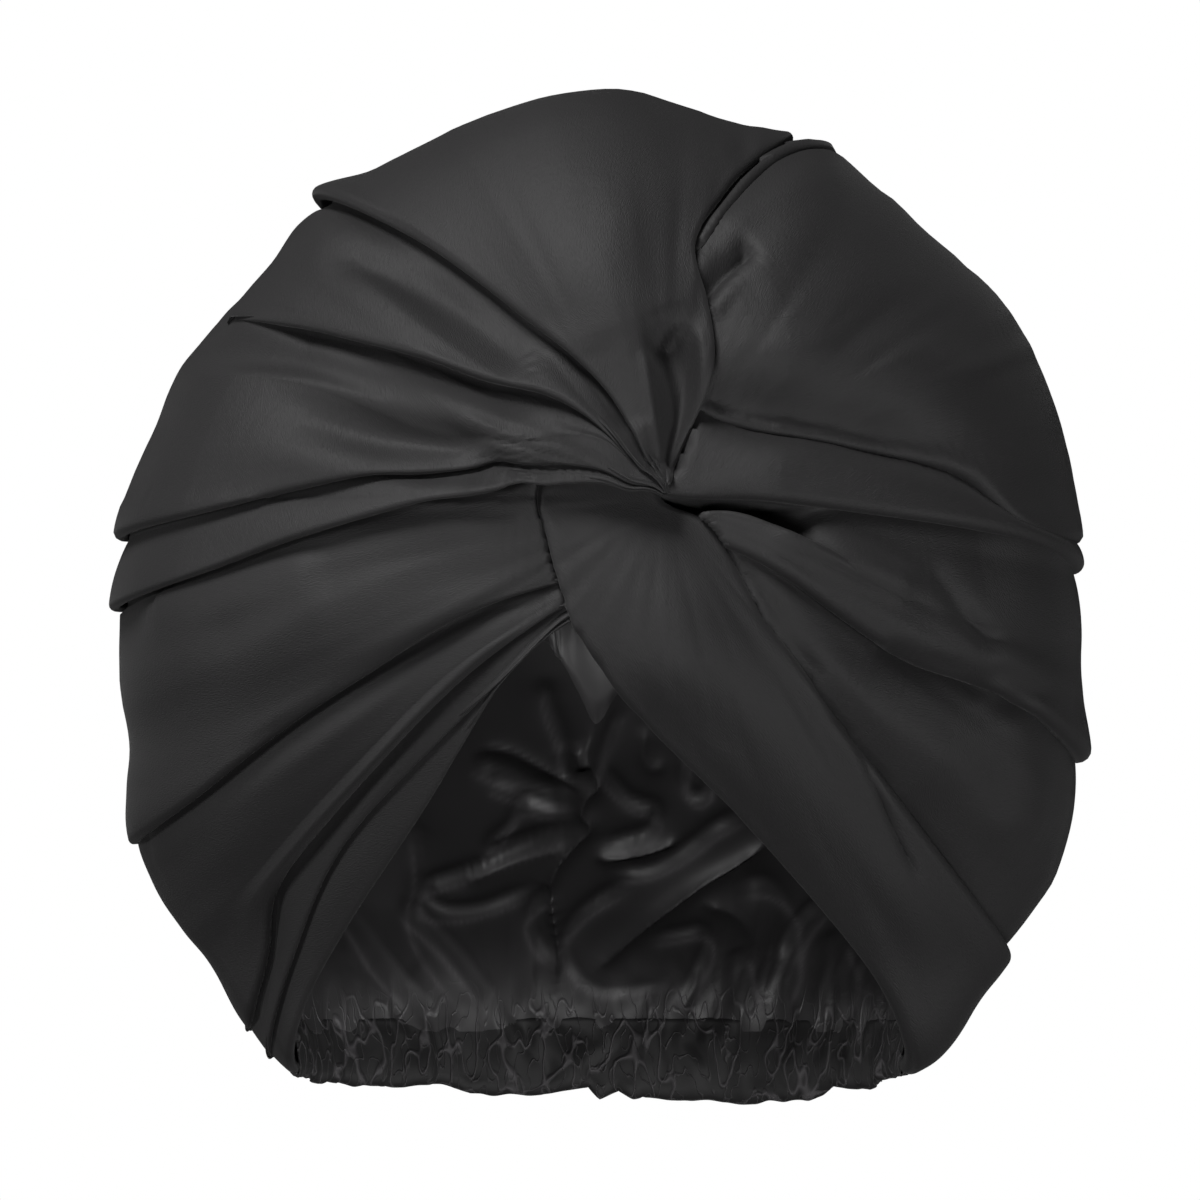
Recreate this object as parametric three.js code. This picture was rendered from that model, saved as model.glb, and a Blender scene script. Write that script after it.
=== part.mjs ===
// A twist-front turban: two looped satin bands cross in a half twist over the
// forehead, the back is gathered, and a satin lining shows through the face opening.
// Millimetres. +Z is up, the front faces -Y, and the origin is the middle of the
// head opening at the level of its hem. It keeps the puffed form it has when worn.

import * as THREE from 'three';

// Driving sizes
const CLOTH = 1.8;
const LINING = 1.2;
const CENTRE_HEIGHT = 129.5;
const RIM_Y = 20;
const FRONT_DEPTH = 118;
const FRONT_ROUNDNESS = 0.85;
const CHIN_SET_BACK = 58;
const BACK_DEPTH = 105;
const NAPE_DEPTH = 60;
const SEAM_TURN = 1.3;
const SEAM_TURN_LOW = 1.07;
const CREASE_RUN = 0.8;
const CLEARANCE = 0.7;
const HEM_BOTTOM = -7.5;
const HEM_TOP = 15;
const HEM_HALF_WIDTH = 78;
const HEM_FLARE = 2;
const HEM_DEPTH = 51;
const HEM_THICK = 3;
const PANEL_BOTTOM = 7;
const LINING_BOTTOM = 14.2;
const HEM_GATHERS = 36;
const BACK_GATHERS = 22;

// Outline seen from the front: radius from the middle of the form at each angle,
// counted from +X towards +Z.
const OUTLINE = [
  { angle: -90, radius: 146 },
  { angle: -58, radius: 153.5 },
  { angle: -53, radius: 153.2 },
  { angle: -48, radius: 149.5 },
  { angle: -40, radius: 146 },
  { angle: -30, radius: 143 },
  { angle: -24, radius: 140.6 },
  { angle: -19, radius: 137.4 },
  { angle: -13, radius: 131 },
  { angle: 2, radius: 128.4 },
  { angle: 20, radius: 129.3 },
  { angle: 32, radius: 130.8 },
  { angle: 47, radius: 128 },
  { angle: 56, radius: 130 },
  { angle: 62, radius: 133.4 },
  { angle: 67, radius: 132.4 },
  { angle: 71, radius: 130 },
  { angle: 89, radius: 132.6 },
  { angle: 106, radius: 128.8 },
  { angle: 118, radius: 127 },
  { angle: 127, radius: 131.6 },
  { angle: 130, radius: 130.4 },
  { angle: 135, radius: 126 },
  { angle: 144, radius: 123.6 },
  { angle: 152, radius: 126.2 },
  { angle: 160, radius: 126 },
  { angle: 175, radius: 130.6 },
  { angle: 190, radius: 131 },
  { angle: 199, radius: 132.6 },
  { angle: 203, radius: 137 },
  { angle: 208, radius: 142.8 },
  { angle: 213, radius: 144 },
  { angle: 225, radius: 145.6 },
  { angle: 230, radius: 150.4 },
  { angle: 239, radius: 153.4 },
  { angle: 248, radius: 148 },
  { angle: 270, radius: 146 },
];

// Folds of each band, from its first edge to its last. path: points (x, z) from the
// twist outwards. rim: angle where the fold crosses the outline. step: how far the
// cloth drops behind the fold. swell: how far the pleat after it bulges. cells:
// divisions of that pleat.
const CROWN_FOLDS = [
  { name: 'right edge', path: [[17, 154], [24, 170], [30, 188], [28, 207], [25, 220], [33, 234]],
    rim: 67, step: 0, swell: 5, cells: 8 },
  { name: 'crown fold', path: [[17, 154], [3, 180], [-27, 207], [-53, 226]],
    rim: 126, step: 6, swell: -1, cells: 4 },
  { name: 'upper roll', path: [[16.6, 154], [-11, 179], [-43, 189], [-80, 199]],
    rim: 146, step: 3, swell: -4, cells: 3 },
  { name: 'leaf floor', path: [[16.4, 154], [0, 168.5], [-40, 171], [-80, 184]],
    rim: 156, step: 0, swell: 2, cells: 3 },
  { name: 'side pleat', path: [[16.2, 154], [-11, 162.5], [-40, 162], [-80, 156], [-107, 149.5]],
    rim: 174, step: 4, swell: 0, cells: 3 },
  { name: 'lower edge', path: [[16, 153.6], [-11, 157], [-45, 152.7], [-80, 143], [-107, 133.5]],
    rim: 182.5, step: 0, swell: 0, cells: 0 },
];
const LEFT_FOLDS = [
  { name: 'tucked top', path: [[0, 157], [-32, 161], [-53, 158], [-80, 151], [-107, 143]],
    rim: 176, step: 0, swell: 1, cells: 4 },
  { name: 'first pleat', path: [[-2, 133], [-10, 131.5], [-32, 123.6], [-80, 95], [-109, 73]],
    rim: 208.5, step: 5, swell: 1, cells: 3 },
  { name: 'soft valley', path: [[-1.5, 130], [-9, 128], [-37, 109.5], [-72, 76], [-96, 49.5]],
    rim: 220, step: 0, swell: 2, cells: 3 },
  { name: 'second pleat', path: [[-1, 127], [-8, 124.9], [-37, 103.3], [-69, 71], [-87, 46.7], [-90, 29]],
    rim: 231.5, step: 4, swell: 0, cells: 2 },
  { name: 'facing fold', path: [[0, 124], [-7, 122], [-32, 98.8], [-68, 61.4], [-82, 30.7]],
    rim: 235, step: 1.5, swell: 0, cells: 2 },
  { name: 'front edge', path: [[1, 121.5], [-6, 120.7], [-12, 117.4], [-27, 102.8], [-45, 73.4],
    [-67, 40], [-79, 18]],
    rim: 238, step: 0, swell: 0, cells: 0 },
];
const RIGHT_FOLDS = [
  { name: 'tucked top', path: [[17, 214], [19, 228], [27, 241]],
    rim: 72, step: 0, swell: 0, cells: 2 },
  { name: 'valley', path: [[19, 211], [27.5, 222], [44, 242.5]],
    rim: 62, step: 2, swell: 2, cells: 4 },
  { name: 'soft ridge', path: [[22, 198.4], [53, 200], [80, 202]],
    rim: 32.7, step: 0, swell: 0, cells: 2 },
  { name: 'roll', path: [[22, 190], [43, 190.4], [80, 184.2]],
    rim: 21, step: 0, swell: 1, cells: 3 },
  { name: 'first pleat', path: [[18, 180], [43, 174.4], [69, 169.8], [96, 161.5], [112, 147]],
    rim: 6, step: 5, swell: 1, cells: 3 },
  { name: 'second pleat', path: [[13, 157], [43, 154.3], [69, 151], [107, 145]],
    rim: 2.6, step: 5, swell: 0, cells: 3 },
  { name: 'lip', path: [[19, 148.5], [36, 149], [59, 138.6], [80, 126.8]],
    rim: -7, step: 0, swell: 1, cells: 3 },
  { name: 'third pleat', path: [[20, 147], [43, 137.5], [81, 112], [107, 103]],
    rim: -19, step: 5, swell: 1, cells: 4 },
  { name: 'tucked lower edge', path: [[19, 145], [37, 116], [66, 74]],
    rim: -46, step: 0, swell: 0, cells: 0 },
];
const TWIST_FOLDS = [
  { name: 'right crease', path: [[14, 162], [16, 154], [29, 146.8], [53, 106.8], [83, 66.8]],
    rim: -42, step: 0, swell: 4, cells: 9 },
  { name: 'front edge', path: [[-15, 163], [-15.6, 156], [-11.7, 137.5], [0, 110.3], [38.7, 68.6],
    [74.5, 26.2], [82.6, 8]],
    rim: -57.5, step: 0, swell: 0, cells: 0 },
];

// Face opening as the lining follows it, from the left front corner over the
// pointed tip to the right front corner.
const LINING_EDGE = [
  [-86, 3], [-75, 40], [-52, 78], [-30, 108], [-14, 112], [-1, 91], [9, 104], [22, 94],
  [50, 65], [77, 34], [88, 3],
];

// Satin folds of the back lining that stand out around its puckered seam.
const LINING_FOLDS = [
  { from: [-5, 70], to: [-37, 81], width: 5, height: 2.4 },
  { from: [-6, 63], to: [-45, 49], width: 6, height: 2.6 },
  { from: [-14, 45], to: [-45, 38], width: 5, height: 2 },
  { from: [3, 75], to: [14, 66], width: 6, height: 2.4 },
  { from: [-2, 52], to: [40, 66], width: 5, height: 2.6 },
  { from: [-2, 25], to: [48, 60], width: 4, height: -2.4 },
  { from: [-10, 35], to: [22, 22], width: 7, height: 2.6 },
  { from: [27, 35], to: [24, 12], width: 5, height: 2 },
  { from: [61, 42], to: [51, 15], width: 6, height: 2 },
];

const BLACK_SATIN = { color: '#1b1a1b', roughness: 0.5, metalness: 0 };
const BLACK_LINING = { color: '#161516', roughness: 0.36, metalness: 0 };

function clamp(value, low, high) {
  return Math.min(high, Math.max(low, value));
}

function ease(value) {
  const t = clamp(value, 0, 1);
  return t * t * (3 - 2 * t);
}

function mix(a, b, t) {
  return a + (b - a) * t;
}

// Radius of the outline at an angle in degrees, smooth through the table's rows.
function outlineRadius(degrees) {
  const angle = ((degrees + 90) % 360 + 360) % 360 - 90;
  const count = OUTLINE.length - 1;
  let row = 0;
  while (row < count - 1 && OUTLINE[row + 1].angle < angle) row += 1;
  const before = OUTLINE[(row - 1 + count) % count];
  const start = OUTLINE[row];
  const end = OUTLINE[row + 1];
  const after = OUTLINE[(row + 2) % count];
  const span = end.angle - start.angle;
  const t = (angle - start.angle) / span;
  const backSpan = row === 0 ? span : start.angle - before.angle;
  const aheadSpan = row + 2 > count ? span : after.angle - end.angle;
  const slopeIn = (end.radius - before.radius) / (span + backSpan) * span;
  const slopeOut = (after.radius - start.radius) / (span + aheadSpan) * span;
  const t2 = t * t;
  const t3 = t2 * t;
  return (2 * t3 - 3 * t2 + 1) * start.radius + (t3 - 2 * t2 + t) * slopeIn
    + (3 * t2 - 2 * t3) * end.radius + (t3 - t2) * slopeOut;
}

// The puffed form. (u, v) is a flat map of it: the middle of the front is at
// (0, 0), the outline is the circle of radius 1 and the back lies beyond it.
function form(u, v) {
  const turn = Math.hypot(u, v);
  const angle = Math.atan2(v, u);
  const radius = outlineRadius(THREE.MathUtils.radToDeg(angle));
  const reach = Math.sin(turn * Math.PI / 2);
  const depth = Math.abs(Math.cos(turn * Math.PI / 2));
  const x = reach * radius * Math.cos(angle);
  const rise = radius * Math.sin(angle);
  if (turn <= 1) {
    const front = FRONT_DEPTH - CHIN_SET_BACK * ease(-v / 0.6);
    const y = RIM_Y - front * depth ** FRONT_ROUNDNESS;
    return new THREE.Vector3(x, y, CENTRE_HEIGHT + reach * rise);
  }
  const fall = ease(-rise / CENTRE_HEIGHT);
  const back = mix(BACK_DEPTH, NAPE_DEPTH, fall);
  const y = RIM_Y + back * depth ** FRONT_ROUNDNESS;
  return new THREE.Vector3(x, y, CENTRE_HEIGHT + (rise > 0 ? reach : 1) * rise);
}

function formNormal(u, v) {
  const d = 0.004;
  const across = form(u + d, v).sub(form(u - d, v));
  const up = form(u, v + d).sub(form(u, v - d));
  return across.cross(up).normalize();
}

function lifted(u, v, height) {
  return form(u, v).addScaledVector(formNormal(u, v), height);
}

function mapPoint(x, z) {
  const rise = z - CENTRE_HEIGHT;
  const angle = Math.atan2(rise, x);
  const radius = outlineRadius(THREE.MathUtils.radToDeg(angle));
  const turn = Math.asin(clamp(Math.hypot(x, rise) / radius, 0, 1)) * 2 / Math.PI;
  return new THREE.Vector3(turn * Math.cos(angle), turn * Math.sin(angle), 0);
}

function rimPoint(degrees, turn) {
  const angle = THREE.MathUtils.degToRad(degrees);
  return new THREE.Vector3(turn * Math.cos(angle), turn * Math.sin(angle), 0);
}

// Where the wraps are sewn to the back, as a turn on the map.
function seamTurn(degrees) {
  const low = ease((-Math.sin(THREE.MathUtils.degToRad(degrees)) - 0.1) / 0.7);
  return mix(SEAM_TURN, SEAM_TURN_LOW, low);
}

function foldCurve(fold) {
  const points = fold.path.map(([x, z]) => mapPoint(x, z));
  points.push(rimPoint(fold.rim, 1));
  points.push(rimPoint(fold.rim, seamTurn(fold.rim)));
  const curve = new THREE.CatmullRomCurve3(points, false, 'centripetal');
  curve.arcLengthDivisions = 400;
  return curve;
}

// A place between two folds: straight across near the twist, and round the form
// farther out, so that a wide pleat keeps its reach.
function between(a, b, across, s) {
  const straightU = mix(a.x, b.x, across);
  const straightV = mix(a.y, b.y, across);
  const startAngle = Math.atan2(a.y, a.x);
  const swing = Math.atan2(a.x * b.y - a.y * b.x, a.x * b.x + a.y * b.y);
  const angle = startAngle + swing * across;
  const turn = mix(Math.hypot(a.x, a.y), Math.hypot(b.x, b.y), across);
  const round = ease((s - 0.25) / 0.4);
  return [mix(straightU, turn * Math.cos(angle), round), mix(straightV, turn * Math.sin(angle), round)];
}

// A closed sheet from a grid of outer points and a grid of inner points.
function sheet(outer, inner) {
  const rows = outer.length;
  const columns = outer[0].length;
  const positions = [];
  for (const grid of [outer, inner]) {
    for (const row of grid) {
      for (const point of row) positions.push(point.x, point.y, point.z);
    }
  }
  const top = (i, j) => i * columns + j;
  const under = (i, j) => rows * columns + i * columns + j;
  const index = [];
  const quad = (a, b, c, d) => index.push(a, b, c, a, c, d);
  for (let i = 0; i < rows - 1; i += 1) {
    for (let j = 0; j < columns - 1; j += 1) {
      quad(top(i, j), top(i + 1, j), top(i + 1, j + 1), top(i, j + 1));
      quad(under(i, j), under(i, j + 1), under(i + 1, j + 1), under(i + 1, j));
    }
  }
  for (let i = 0; i < rows - 1; i += 1) {
    quad(top(i, 0), under(i, 0), under(i + 1, 0), top(i + 1, 0));
    quad(top(i, columns - 1), top(i + 1, columns - 1), under(i + 1, columns - 1), under(i, columns - 1));
  }
  for (let j = 0; j < columns - 1; j += 1) {
    quad(top(0, j), top(0, j + 1), under(0, j + 1), under(0, j));
    quad(top(rows - 1, j), under(rows - 1, j), under(rows - 1, j + 1), top(rows - 1, j + 1));
  }
  const geometry = new THREE.BufferGeometry();
  geometry.setAttribute('position', new THREE.Float32BufferAttribute(positions, 3));
  geometry.setIndex(signedVolume(positions, index) < 0 ? index.reverse() : index);
  geometry.computeVertexNormals();
  return geometry;
}

function signedVolume(positions, index) {
  const corner = (n) => new THREE.Vector3().fromArray(positions, index[n] * 3);
  let volume = 0;
  for (let n = 0; n < index.length; n += 3) {
    volume += corner(n).dot(corner(n + 1).cross(corner(n + 2))) / 6;
  }
  return volume;
}

// How high a sheet may lie at a place of the map: a little under the covering pieces.
const ray = new THREE.Raycaster();
const LOOKS = 8;

function roomUnder(covers, u, v, height, nearby) {
  let room = height;
  for (let look = covers.length ? 0 : LOOKS + 1; look <= LOOKS; look += 1) {
    const bearing = look * Math.PI * 2 / LOOKS;
    const lookU = u + (look < LOOKS ? nearby * Math.cos(bearing) : 0);
    const lookV = v + (look < LOOKS ? nearby * Math.sin(bearing) : 0);
    ray.set(lifted(lookU, lookV, -30), formNormal(lookU, lookV));
    for (const hit of ray.intersectObjects(covers)) {
      if (hit.distance < 42) room = Math.min(room, hit.distance - 30 - CLEARANCE);
    }
  }
  return room;
}

// One pleated band: a fan of strips between neighbouring folds, tucked under its covers.
function band(folds, steps, settle, covers) {
  const curves = folds.map(foldCurve);
  const outer = [];
  const inner = [];
  for (let i = 0; i <= steps; i += 1) {
    const s = (i / steps) ** 1.4;
    const points = curves.map((curve) => curve.getPointAt(s));
    const places = points.map((point) => form(point.x, point.y));
    const outerRow = [];
    const innerRow = [];
    const fade = ease(s / 0.3) * mix(1, 0.15, ease((s - 0.78) / 0.15));
    for (let k = 0; k < folds.length - 1; k += 1) {
      const width = places[k].distanceTo(places[k + 1]);
      const drop = Math.min(folds[k].step * fade, width * 0.4);
      const bulge = folds[k].swell * fade * mix(1, 0.1, ease((s - 0.52) / 0.2));
      const swell = clamp(bulge, -width * 0.3, width * 0.3);
      const start = drop > 0 ? Math.min(drop * CREASE_RUN / width, 0.4) : 0;
      const first = k > 0 && folds[k].step === 0 ? 1 : 0;
      for (let c = first; c <= folds[k].cells; c += 1) {
        const part = c / folds[k].cells;
        const across = mix(start, 1, part);
        const [u, v] = between(points[k], points[k + 1], across, s);
        let height = swell * Math.sin(Math.PI * part) - drop * (1 - part) ** 1.4;
        height += settle(s, k + part, folds.length - 1 - k - part);
        height = roomUnder(covers, u, v, height, 0.032);
        outerRow.push(lifted(u, v, height));
        innerRow.push(lifted(u, v, height - CLOTH));
      }
    }
    outer.push(outerRow);
    inner.push(innerRow);
  }
  return sheet(outer, inner);
}

// How far each band sits off the form, by its way from the twist, s, and its count of
// pleats from the first edge and from the last: it dives where the next band covers it.
function crownSettle(s) {
  return 0.4 + 1.4 * (1 - ease(s / 0.25)) - 0.6 * ease((s - 0.8) / 0.2);
}

function leftSettle(s, fromTop) {
  const tuckedTop = Math.max(0, 1 - fromTop / 0.3) * mix(1, 0.6, ease((s - 0.75) / 0.2));
  const tuckedRoot = 1 - ease((s - 0.06) / 0.1);
  return -5.2 * tuckedTop - 5.5 * tuckedRoot * (1 - tuckedTop) - 1.2 * ease((s - 0.8) / 0.2);
}

function rightSettle(s, fromTop, fromLow) {
  const tuckedTop = (1 - ease((fromTop - 0.3) / 0.9)) * mix(1, 0.5, ease((s - 0.75) / 0.2));
  const tuckedLow = Math.max(0, 1 - fromLow / 0.5);
  const tuckedRoot = 1 - ease(s / 0.1);
  const hollow = Math.exp(-(((fromTop - 5.5) / 0.7) ** 2)) * Math.exp(-((s / 0.22) ** 2));
  return -3.6 * Math.max(tuckedTop, tuckedLow, tuckedRoot) - 6 * hollow - 1.2 * ease((s - 0.8) / 0.2);
}

function twistSettle(s) {
  return -4 * (1 - ease(s / 0.16)) - 1.2 * ease((s - 0.8) / 0.2);
}

// The angle where the outline passes a level on one side, below the middle.
function levelAngle(rise, side) {
  let low = 0.5;
  let high = 89.5;
  for (let n = 0; n < 30; n += 1) {
    const middle = (low + high) / 2;
    const radius = outlineRadius(side > 0 ? -middle : 180 + middle);
    if (radius * Math.sin(THREE.MathUtils.degToRad(middle)) < -rise) low = middle;
    else high = middle;
  }
  return side > 0 ? -low : 180 + low;
}

// The place on the map of a point of the back, given as it is seen from behind.
function backMap(x, z) {
  const rise = z - CENTRE_HEIGHT;
  if (rise >= 0) {
    const angle = Math.atan2(rise, x);
    const radius = outlineRadius(THREE.MathUtils.radToDeg(angle));
    const turn = 2 - Math.asin(clamp(Math.hypot(x, rise) / radius, 0, 0.9999)) * 2 / Math.PI;
    return rimPoint(THREE.MathUtils.radToDeg(angle), turn);
  }
  const degrees = levelAngle(rise, x < 0 ? -1 : 1);
  const half = Math.abs(outlineRadius(degrees) * Math.cos(THREE.MathUtils.degToRad(degrees)));
  const turn = 2 - Math.asin(clamp(Math.abs(x) / half, 0, 0.9999)) * 2 / Math.PI;
  return rimPoint(degrees, turn);
}

// Where a back sheet's edge lies, seen from behind, at an angle of the outline.
function backEdge(degrees, turn) {
  const place = form(turn * Math.cos(THREE.MathUtils.degToRad(degrees)),
    turn * Math.sin(THREE.MathUtils.degToRad(degrees)));
  return [place.x, place.z];
}

// Near the hem the back is drawn in to the width of its casing.
function drawnIn(place, along) {
  const low = (1 - ease((place.z - 4) / 40)) * ease(Math.min(along, 1 - along) / 0.12);
  const degrees = levelAngle(place.z - CENTRE_HEIGHT, 1);
  const half = outlineRadius(degrees) * Math.cos(THREE.MathUtils.degToRad(degrees));
  place.x *= mix(1, (HEM_HALF_WIDTH + 5.6) / half, low * (half > HEM_HALF_WIDTH ? 1 : 0));
  return place;
}

// A grid over the back between its bottom level, its two sides and its top.
function backSheet(columns, rows, bottom, inset, relief, thickness, covers) {
  const corner = 38;
  const bottomLeft = 234.5;
  const bottomRight = -53;
  const turnAt = (degrees) => seamTurn(degrees) - inset;
  const outer = [];
  const inner = [];
  const lowLeft = backEdge(bottomLeft, turnAt(bottomLeft));
  const lowRight = backEdge(bottomRight, turnAt(bottomRight));
  lowLeft[1] = bottom;
  lowRight[1] = bottom;
  const topLeft = backEdge(180 - corner, turnAt(180 - corner));
  const topRight = backEdge(corner, turnAt(corner));
  for (let j = 0; j <= rows; j += 1) {
    const up = j / rows;
    const left = backEdge(mix(bottomLeft, 180 - corner, up), turnAt(mix(bottomLeft, 180 - corner, up)));
    const right = backEdge(mix(bottomRight, corner, up), turnAt(mix(bottomRight, corner, up)));
    left[1] = Math.max(left[1], bottom);
    right[1] = Math.max(right[1], bottom);
    const outerRow = [];
    const innerRow = [];
    for (let i = 0; i <= columns; i += 1) {
      const along = i / columns;
      const top = backEdge(mix(180 - corner, corner, along), turnAt(mix(180 - corner, corner, along)));
      const low = [mix(lowLeft[0], lowRight[0], along), bottom];
      const place = [0, 1].map((axis) => mix(left[axis], right[axis], along)
        + mix(low[axis], top[axis], up)
        - mix(mix(lowLeft[axis], lowRight[axis], along), mix(topLeft[axis], topRight[axis], along), up));
      const edge = Math.min(along, 1 - along, (1 - up) * 0.8) * 2;
      const spot = backMap(place[0], place[1]);
      const height = roomUnder(covers, spot.x, spot.y,
        relief(place[0], place[1], along, up, edge), 0.04);
      outerRow.push(drawnIn(lifted(spot.x, spot.y, height), along));
      innerRow.push(drawnIn(lifted(spot.x, spot.y, height - thickness), along));
    }
    outer.push(outerRow);
    inner.push(innerRow);
  }
  return sheet(outer, inner);
}

// Distance from a point to the segment of a fold, in the front view.
function foldRelief(x, z, fold) {
  const [ax, az] = fold.from;
  const [bx, bz] = fold.to;
  const length = Math.hypot(bx - ax, bz - az);
  const along = clamp(((x - ax) * (bx - ax) + (z - az) * (bz - az)) / length ** 2, 0, 1);
  const distance = Math.hypot(x - mix(ax, bx, along), z - mix(az, bz, along));
  return fold.height * Math.exp(-((distance / fold.width) ** 2));
}

function panelRelief(x, z, along, up, edge) {
  const gather = Math.cos(along * BACK_GATHERS * Math.PI * 2);
  const size = mix(1.3, 0.2, ease(up / 0.6));
  const seam = 1.5 * Math.exp(-((x / 4) ** 2));
  return -1.2 + gather * size * ease(edge / 0.1) - seam - 5.3 * (1 - ease(edge / 0.14));
}

function liningRelief(x, z, along, up, edge) {
  const gather = Math.cos(along * BACK_GATHERS * Math.PI * 2) * mix(0.8, 0, ease(up / 0.3));
  const folds = LINING_FOLDS.reduce((sum, fold) => sum + foldRelief(x, z, fold), 0);
  return -8.8 - gather - folds * ease(edge / 0.1) - 1.8 * (1 - ease(edge / 0.14));
}

// The lining behind the wraps, from the face opening out to the outline.
function frontLining(columns, rows, covers) {
  const opening = new THREE.CatmullRomCurve3(
    LINING_EDGE.map(([x, z]) => mapPoint(x, z)), false, 'centripetal');
  const outer = [];
  const inner = [];
  for (let i = 0; i <= columns; i += 1) {
    const along = i / columns;
    const degrees = mix(235.5, -53.5, along);
    const start = opening.getPoint(along);
    const tip = Math.exp(-(((along - 0.5) / 0.12) ** 2));
    const end = rimPoint(degrees, mix(1, seamTurn(degrees), 0.3));
    const outerRow = [];
    const innerRow = [];
    for (let j = 0; j <= rows; j += 1) {
      const out = j / rows;
      const u = mix(start.x, end.x, out);
      const v = mix(start.y, end.y, out);
      const deeper = mix(1.5, 6, tip) * ease(out / 0.12);
      const height = roomUnder(covers, u, v, mix(-7.6, -5, tip) - deeper, 0.035);
      outerRow.push(lifted(u, v, height));
      innerRow.push(lifted(u, v, height - LINING));
    }
    outer.push(outerRow);
    inner.push(innerRow);
  }
  return sheet(outer, inner);
}

// The casing: a gathered strip that runs round the back from corner to corner.
function hemCasing() {
  const stations = HEM_GATHERS * 2;
  const outer = [];
  const inner = [];
  for (let i = 0; i <= stations; i += 1) {
    const along = i / stations * 2 - 1;
    const swing = THREE.MathUtils.degToRad(86 * along);
    const bottom = HEM_BOTTOM * (1 - along ** 4) + (i % 4 === 0 ? 1 : 0);
    const gather = i % 2 === 0 ? 1 : -1;
    const outerRow = [];
    const innerRow = [];
    for (const up of [0, 0.5, 1]) {
      const wave = gather * mix(1.1, 0.5, up) * ease((1 - Math.abs(along)) / 0.1);
      outerRow.push(hemPlace(swing, mix(bottom, HEM_TOP, up), wave));
      innerRow.push(hemPlace(swing, mix(bottom, HEM_TOP, up), wave - HEM_THICK));
    }
    outer.push(outerRow);
    inner.push(innerRow);
  }
  return sheet(outer, inner);
}

function hemPlace(swing, z, height) {
  const half = HEM_HALF_WIDTH + HEM_FLARE * ease(z / HEM_TOP) + height;
  const depth = HEM_DEPTH + HEM_FLARE * ease(z / HEM_TOP) + height;
  return new THREE.Vector3(half * Math.sin(swing), RIM_Y + depth * Math.cos(swing) ** FRONT_ROUNDNESS, z);
}

function piece(name, geometry, look) {
  const mesh = new THREE.Mesh(geometry, new THREE.MeshStandardMaterial({ ...look, name: `${name} satin` }));
  mesh.name = name;
  return mesh;
}

const crownWrap = piece('crown_wrap', band(CROWN_FOLDS, 18, crownSettle, []), BLACK_SATIN);
const twistBand = piece('twist_band', band(TWIST_FOLDS, 18, twistSettle, [crownWrap]), BLACK_SATIN);
const overSides = [crownWrap, twistBand];
const leftWrap = piece('left_wrap', band(LEFT_FOLDS, 17, leftSettle, overSides), BLACK_SATIN);
const rightWrap = piece('right_wrap', band(RIGHT_FOLDS, 15, rightSettle, overSides), BLACK_SATIN);
const wraps = [crownWrap, twistBand, leftWrap, rightWrap];
const backPanel = piece('back_panel',
  backSheet(40, 12, PANEL_BOTTOM, 0.05, panelRelief, CLOTH, wraps), BLACK_SATIN);
const frontLiner = piece('front_lining', frontLining(30, 6, wraps), BLACK_LINING);
const backLiner = piece('back_lining',
  backSheet(40, 12, LINING_BOTTOM, 0.2, liningRelief, LINING, [...wraps, backPanel, frontLiner]),
  BLACK_LINING);
const casing = piece('hem_casing', hemCasing(), BLACK_LINING);

const turban = new THREE.Group();
turban.name = 'turban_headwrap';
turban.add(...wraps, backPanel, frontLiner, backLiner, casing);

export default turban;
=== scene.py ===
"""Looks of the twist-front satin turban: pleated wraps, gathered back, lining and hem.

Lengths in the tables and functions are millimetres in the frame's axes; a mesh gets
metres. The form has a flat map (u, v): the middle of the front is at (0, 0), the
outline is the circle of radius 1, and the back lies beyond it.
"""
import math

import bmesh
import bpy
import numpy as np
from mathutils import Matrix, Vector
from mathutils.bvhtree import BVHTree


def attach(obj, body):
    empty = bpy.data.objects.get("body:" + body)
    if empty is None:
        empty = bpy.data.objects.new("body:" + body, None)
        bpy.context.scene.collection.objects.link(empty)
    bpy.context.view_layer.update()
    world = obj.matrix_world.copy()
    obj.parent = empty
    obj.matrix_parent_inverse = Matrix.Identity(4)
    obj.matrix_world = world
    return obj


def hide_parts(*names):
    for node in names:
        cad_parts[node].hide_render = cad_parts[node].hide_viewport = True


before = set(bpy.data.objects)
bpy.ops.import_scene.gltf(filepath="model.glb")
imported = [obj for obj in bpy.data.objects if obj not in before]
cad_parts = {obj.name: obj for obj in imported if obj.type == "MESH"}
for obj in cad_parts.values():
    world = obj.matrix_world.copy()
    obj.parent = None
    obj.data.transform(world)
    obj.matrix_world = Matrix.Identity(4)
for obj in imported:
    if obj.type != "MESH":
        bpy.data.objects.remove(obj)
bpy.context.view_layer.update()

MM = 0.001

# The puffed form: its middle, the place of its widest ring, and its depth from there.
CENTRE_HEIGHT = 129.5
RIM_Y = 20.0
FRONT_DEPTH = 118.0
FRONT_ROUNDNESS = 0.85
CHIN_SET_BACK = 58.0
BACK_DEPTH = 105.0
NAPE_DEPTH = 60.0

# Where the wraps are sewn to the back, as turns on the map: above, and near the hem.
SEAM_TURN = 1.3
SEAM_TURN_LOW = 1.07

# Thickness of the sheets, the room between them, and how round their edges roll.
CLOTH = 1.3
LINING = 0.8
HEM_CLOTH = 0.6
CLEARANCE = 0.35
ROLL = 2.0
EDGE_ROLL = 1.7

# The middle of the twist as seen from the front.
TWIST_X = 16.5
TWIST_Z = 154.0

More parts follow.
